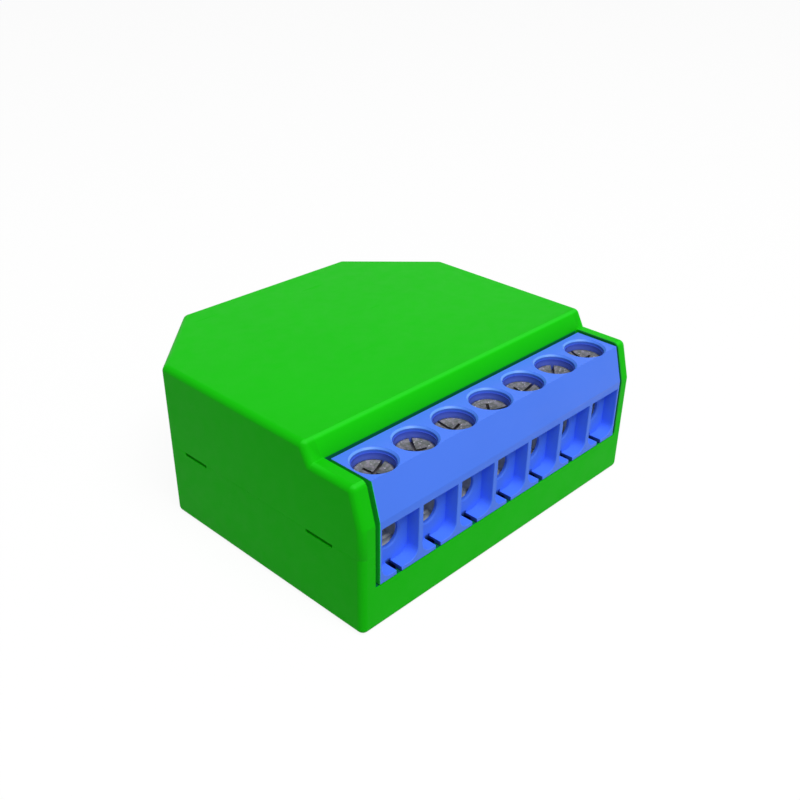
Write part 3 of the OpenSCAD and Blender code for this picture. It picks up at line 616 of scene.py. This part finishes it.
# A node's own finish comes before that of its slot
FINISH = {
    "cover_plastic": cover,
    "housing_plastic": lower_shell,
    "terminal_plastic": terminal_block,
    "screw_nickel": screw,
    "clamp_steel": clamp,
    "contact_metal": contact_bar,
    "board_laminate": main_board,
    "control_laminate": control_board,
    "pin_metal": gold_pins,
    "spreader_aluminium": spreader,
    "pad_silicone": pad,
    "yellow_case": film_case,
    "blue_coating": dipped,
    "ferrite": choke,
    "ceramic": capacitors,
    "fusible_resistor": banded,
    "header_strip": lambda n: resin(n, (0.016, 0.016, 0.018), 0.45).done(),
    "power_transistor_1": transistor,
    "power_transistor_2": transistor,
    "gate_driver": lambda n: leaded(n, (0,)),
    "sense_resistor": lambda n: leaded(n, (1,), cap=0.8),
    "bulk_capacitor_1": lambda n: can(n, axis=0, radius=4, length=11),
    "bulk_capacitor_2": lambda n: can(n, axis=0, radius=3.15, length=11),
    "smoothing_capacitor": lambda n: can(n, axis=2, radius=2.4, length=8),
    "optocoupler": lambda n: leaded(n, (0,), WHITE),
    "supply_controller": lambda n: leaded(n, (1,)),
    "bridge_rectifier": lambda n: leaded(n, (0,)),
    "input_resistors": resistors,
    "microcontroller": lambda n: leaded(n, (0, 2)),
    "radio_chip": lambda n: resin(n).done(),
    "radio_crystal": crystal,
    "radio_shield": shield,
    "memory_chip": lambda n: leaded(n, (2,)),
    "voltage_regulator": lambda n: leaded(n, (2,)),
    "chip_antenna": lambda n: leaded(n, (0,), WHITE, cap=1.12),
}


# ---- edges

def smooth(obj):
    for p in obj.data.polygons:
        p.use_smooth = True


def soften(obj, width):
    """Small edge rounding and smooth shading of a CAD node, as modifiers."""
    weld = obj.modifiers.new("weld", "WELD")
    weld.merge_threshold = 0.0005 * MM
    bevel = obj.modifiers.new("edge", "BEVEL")
    bevel.width = width * MM
    bevel.segments = 2
    bevel.limit_method = "ANGLE"
    bevel.angle_limit = SHARP
    smooth(obj)
    obj.modifiers.new("normals", "WEIGHTED_NORMAL")


def sharpen(obj):
    """Smooth shading that stops at the sharp edges."""
    smooth(obj)
    obj.data.set_sharp_from_angle(angle=SHARP)


def round_mouths(obj, width):
    """Round the edges that lie in the terminal face, and keep the other edges sharp."""
    mesh = obj.data
    weights = mesh.attributes.new("bevel_weight_edge", "FLOAT", "EDGE")
    for edge in mesh.edges:
        if all(abs(mesh.vertices[v].co.y - FRONT * MM) < 0.01 * MM for v in edge.vertices):
            weights.data[edge.index].value = 1.0
    bevel = obj.modifiers.new("mouths", "BEVEL")
    bevel.width = width * MM
    bevel.segments = 2
    bevel.limit_method = "WEIGHT"


# ---- the terminal row and its screws, with finer rims, slits and recesses than the solids
# that they stand for

def loft(bm, loops):
    """Closed solid through loops of equally many points, given in millimetres."""
    rings = [[bm.verts.new(Vector(p) * MM) for p in loop] for loop in loops]
    n = len(rings[0])
    for a, b in zip(rings, rings[1:]):
        for k in range(n):
            bm.faces.new((a[k], a[(k + 1) % n], b[(k + 1) % n], b[k]))
    bm.faces.new(reversed(rings[0]))
    bm.faces.new(rings[-1])


def box(bm, low, high):
    (x0, y0, z0), (x1, y1, z1) = low, high
    loft(bm, [[(x0, y0, z), (x1, y0, z), (x1, y1, z), (x0, y1, z)] for z in (z0, z1)])


def block(bm, x, width, depths, heights):
    """Box of the given width centred on x, with its depths from FRONT."""
    (y0, y1), (z0, z1) = depths, heights
    box(bm, (x - width / 2, FRONT + y0, z0), (x + width / 2, FRONT + y1, z1))


def arc(steps, span):
    """Angles from 0 to span in equal steps, both ends included."""
    return [span * k / steps for k in range(steps + 1)]


def turned(bm, profile, centre, along_y=False, steps=48):
    """Solid of revolution about Z, or about Y, through (radius, place along the axis) pairs."""
    circle = [(math.cos(a), math.sin(a)) for a in arc(steps, 2 * math.pi)[:-1]]
    loops = []
    for r, h in profile:
        ring = [(centre[0] + r * u, centre[1] + r * v) for u, v in circle]
        loops.append([(u, h, v) for u, v in reversed(ring)] if along_y else
                     [(u, v, h) for u, v in ring])
    loft(bm, loops)


def solid(name, build):
    bm = bmesh.new()
    build(bm)
    bmesh.ops.recalc_face_normals(bm, faces=bm.faces)
    mesh = bpy.data.meshes.new(name)
    bm.to_mesh(mesh)
    bm.free()
    obj = bpy.data.objects.new(name, mesh)
    bpy.context.scene.collection.objects.link(obj)
    return obj


def carve(body, cutter):
    """Cut one solid out of another and keep the result in the first."""
    cut = body.modifiers.new("cut", "BOOLEAN")
    cut.object = cutter
    cut.operation = "DIFFERENCE"
    cut.solver = "EXACT"
    cut.use_self = True
    graph = bpy.context.evaluated_depsgraph_get()
    mesh = bpy.data.meshes.new_from_object(body.evaluated_get(graph))
    body.modifiers.remove(cut)
    body.data = mesh
    bpy.data.objects.remove(cutter)


def row_body(bm):
    outline = [(0, ROW_LOW), (0, SLOPE_Z), (SLOPE_TOP, ROW_TOP), (ROW_BACK, ROW_TOP),
               (ROW_BACK, REAR_TOP), (REAR_BACK, REAR_TOP), (REAR_BACK, BOARD_TOP),
               (FOOT_BACK, BOARD_TOP), (FOOT_BACK, BOARD_LOW), (FOOT_FRONT, BOARD_LOW),
               (FOOT_FRONT, ROW_LOW)]
    half = WAYS * PITCH / 2
    loft(bm, [[(x + ROW_SHIFT, FRONT + y, z) for y, z in outline] for x in (-half, half)])


def entry_loop(x, y):
    """Mouth of a wire entry at one depth: straight sides over a rounded floor."""
    half, bend = (PITCH - PARTITION) / 2, ENTRY_FLOOR + ENTRY_R
    turn = [(math.sin(a), math.cos(a)) for a in arc(8, math.pi / 2)]
    right = [(half - ENTRY_R + ENTRY_R * u, bend - ENTRY_R * v) for u, v in turn]
    corners = [(-u, z) for u, z in reversed(right)] + right
    return [(x + u, FRONT + y, z) for u, z in [(-half, ENTRY_TOP)] + corners + [(half, ENTRY_TOP)]]


def row_cuts(bm):
    """Cutters of every way. Where they meet, each runs a little way into the next."""
    access_low, pin_end = ROW_TOP - ACCESS_DEPTH, PIN_Y + PIN_HALF
    funnel = [(WIRE_R + 0.2, MOUTH - 0.05), (WIRE_R, MOUTH + 0.15), (WIRE_R, CHAMBER_Y + 0.1)]
    screw_hole = [(SHANK_HOLE_R, CHAMBER_TOP - 0.1), (SHANK_HOLE_R, BORE_LOW), (BORE_R, BORE_LOW),
                  (BORE_R, access_low), (ACCESS_R, access_low), (ACCESS_R, ROW_TOP - RIM),
                  (ACCESS_R + RIM + 0.1, ROW_TOP + 0.1)]
    for x in map(way_x, range(WAYS)):
        mouth_x = x + ROW_SHIFT
        loft(bm, [entry_loop(mouth_x, -PAST), entry_loop(mouth_x, MOUTH)])
        block(bm, x, SLIT_W, (-PAST, MOUTH + 0.2), (SLIT_LOW, ENTRY_FLOOR + 0.3))
        block(bm, mouth_x, GROOVE_W, (GROOVE_FRONT, MOUTH + 0.35), (GROOVE_LOW, ENTRY_FLOOR - 0.3))
        turned(bm, [(r, FRONT + y) for r, y in funnel], (x, WIRE_Z), along_y=True)
        block(bm, x, CHAMBER_W, (CHAMBER_Y, CHAMBER_END), (CHAMBER_LOW, CHAMBER_TOP))
        turned(bm, screw_hole, (x, SCREW_Y))
        block(bm, x, BAR_W, (CHAMBER_END - 0.1, pin_end), (BAR_LOW, BAR_TOP))
        block(bm, x, 2 * PIN_HALF, (PIN_Y - PIN_HALF, pin_end), (PIN_LOW, PIN_TOP))


def screw_body(x):
    """Tip, shank and dished head with a rounded rim."""
    edge_r, edge_z = HEAD_R - HEAD_EDGE, HEAD_TOP - HEAD_EDGE
    profile = [(TIP_R, TIP_LOW), (SHANK_R, SHANK_LOW), (SHANK_R, HEAD_LOW), (HEAD_R, HEAD_LOW)]
    profile += [(edge_r + HEAD_EDGE * math.cos(a), edge_z + HEAD_EDGE * math.sin(a))
                for a in arc(5, math.pi / 2)]
    profile += [(r, HEAD_TOP - depth) for r, depth in DISH]
    return lambda bm: turned(bm, profile, (x, SCREW_Y), steps=64)


def screw_cuts(x, angle):
    """Slot over the whole head and a shorter, deeper cross."""
    def build(bm):
        box(bm, (-HEAD_R - PAST, -SLOT_HALF, HEAD_TOP - SLOT_DEPTH),
            (HEAD_R + PAST, SLOT_HALF, HEAD_TOP + PAST))
        box(bm, (-CROSS_HALF, -CROSS_REACH, HEAD_TOP - CROSS_DEPTH),
            (CROSS_HALF, CROSS_REACH, HEAD_TOP + 0.9 * PAST))
        place = Matrix.Translation(Vector((x, SCREW_Y, 0)) * MM)
        turn = place @ Matrix.Rotation(angle, 4, "Z")
        bmesh.ops.transform(bm, matrix=turn, verts=bm.verts)
    return build


def finer_pieces():
    """Yield each piece with the node that it stands for and its body."""
    row = solid("terminal_row", row_body)
    carve(row, solid("row_cutter", row_cuts))
    round_mouths(row, MOUTH_ROUND)
    yield row, "terminal_housing", "housing"
    for i in range(WAYS):
        angle = math.radians(SCREW_ANGLE + SCREW_ANGLE_STEP * i)
        head = solid("screw_%d" % (i + 1), screw_body(way_x(i)))
        carve(head, solid("screw_cutter", screw_cuts(way_x(i), angle)))
        yield head, "terminal_screw_%d" % (i + 1), "screw_%d" % (i + 1)


def paint(obj, material):
    obj.data.materials.clear()
    obj.data.materials.append(material)


slots = {part["node"]: part["material_slot"] for part in frame["record"]["subparts"]}
shared = {}
for node, slot in slots.items():
    key = node if node in FINISH else slot
    if key not in shared:
        shared[key] = FINISH[key](key)
    paint(frame["nodes"][node], shared[key])
    soften(frame["nodes"][node], EDGE_ROUND)

for piece, node, body in finer_pieces():
    paint(piece, shared[slots[node]])
    sharpen(piece)
    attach(piece, body)
    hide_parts(node)


# ---- floor, light, camera

FLOOR_HALF = 1.5
MIDDLE = Vector((0, 0, 0.009))

# Camera of the photo, fitted to the straight edges of the housing
LENS, SENSOR = 43.928, 36
SHIFT = (0.00625, 0.05875)
CAMERA_AT = (-0.0678, -0.067854, 0.062342)
CAMERA_AXES = ((0.697361, -0.716669, 0.008563), (-0.369715, -0.369938, -0.852324),
               (0.614002, 0.591212, -0.522944))


def white_to_camera(tree):
    """1 for the rays that see the background straight, in metal or through glass."""
    path = tree.nodes.new("ShaderNodeLightPath")
    total = path.outputs["Is Camera Ray"]
    for kind in ("Is Glossy Ray", "Is Transmission Ray"):
        both = tree.nodes.new("ShaderNodeMath")
        both.operation = "MAXIMUM"
        tree.links.new(total, both.inputs[0])
        tree.links.new(path.outputs[kind], both.inputs[1])
        total = both.outputs[0]
    return total


def ranged(tree, value, low, high):
    n = tree.nodes.new("ShaderNodeMapRange")
    n.inputs["To Min"].default_value = low
    n.inputs["To Max"].default_value = high
    tree.links.new(value, n.inputs["Value"])
    return n.outputs[0]


def floor(albedo, share, level):
    """Pale floor: it lights the object as a gray one, and looks white with a soft shadow."""
    mesh = bpy.data.meshes.new("floor")
    r = FLOOR_HALF
    mesh.from_pydata([(-r, -r, 0), (r, -r, 0), (r, r, 0), (-r, r, 0)], [], [(0, 1, 2, 3)])
    obj = bpy.data.objects.new("floor", mesh)
    bpy.context.scene.collection.objects.link(obj)
    m = bpy.data.materials.new("floor_white")
    m.use_nodes = True
    t = m.node_tree
    t.nodes.clear()
    out = t.nodes.new("ShaderNodeOutputMaterial")
    mix = t.nodes.new("ShaderNodeMixShader")
    lit = t.nodes.new("ShaderNodeBsdfDiffuse")
    lit.inputs["Color"].default_value = (albedo, albedo, albedo, 1)
    glow = t.nodes.new("ShaderNodeEmission")
    glow.inputs["Strength"].default_value = level
    t.links.new(ranged(t, white_to_camera(t), 0.0, share), mix.inputs[0])
    t.links.new(lit.outputs[0], mix.inputs[1])
    t.links.new(glow.outputs[0], mix.inputs[2])
    t.links.new(mix.outputs[0], out.inputs[0])
    mesh.materials.append(m)


def world(level):
    """White background, which lights the object at the given level."""
    w = bpy.data.worlds.new("studio")
    bpy.context.scene.world = w
    w.use_nodes = True
    back = w.node_tree.nodes["Background"]
    back.inputs["Color"].default_value = (1, 1, 1, 1)
    seen = white_to_camera(w.node_tree)
    w.node_tree.links.new(ranged(w.node_tree, seen, level, 1.0), back.inputs["Strength"])


def area_light(name, direction, distance, size, level):
    """Soft lamp that adds the given level to a white surface facing it."""
    lamp = bpy.data.lights.new(name, "AREA")
    lamp.shape = "DISK"
    lamp.size = size
    lamp.energy = level * math.pi ** 2 * distance ** 2
    obj = bpy.data.objects.new(name, lamp)
    d = Vector(direction).normalized()
    obj.location = d * distance + MIDDLE
    obj.rotation_euler = d.to_track_quat("Z", "Y").to_euler()
    bpy.context.scene.collection.objects.link(obj)


def camera():
    data = bpy.data.cameras.new("camera")
    data.sensor_width = SENSOR
    data.lens = LENS
    data.shift_x, data.shift_y = SHIFT
    data.clip_start = 0.001
    obj = bpy.data.objects.new("camera", data)
    right, down, ahead = (Vector(v) for v in CAMERA_AXES)
    turn = Matrix((right, -down, -ahead)).transposed().to_4x4()
    obj.matrix_world = Matrix.Translation(Vector(CAMERA_AT)) @ turn
    bpy.context.scene.collection.objects.link(obj)
    bpy.context.scene.camera = obj


floor(albedo=0.5, share=0.85, level=1.1)
world(level=0.25)
area_light("key", direction=(-0.09, -0.47, 0.878), distance=0.5, size=0.3, level=0.83)
camera()
bpy.context.scene.view_settings.view_transform = "Standard"
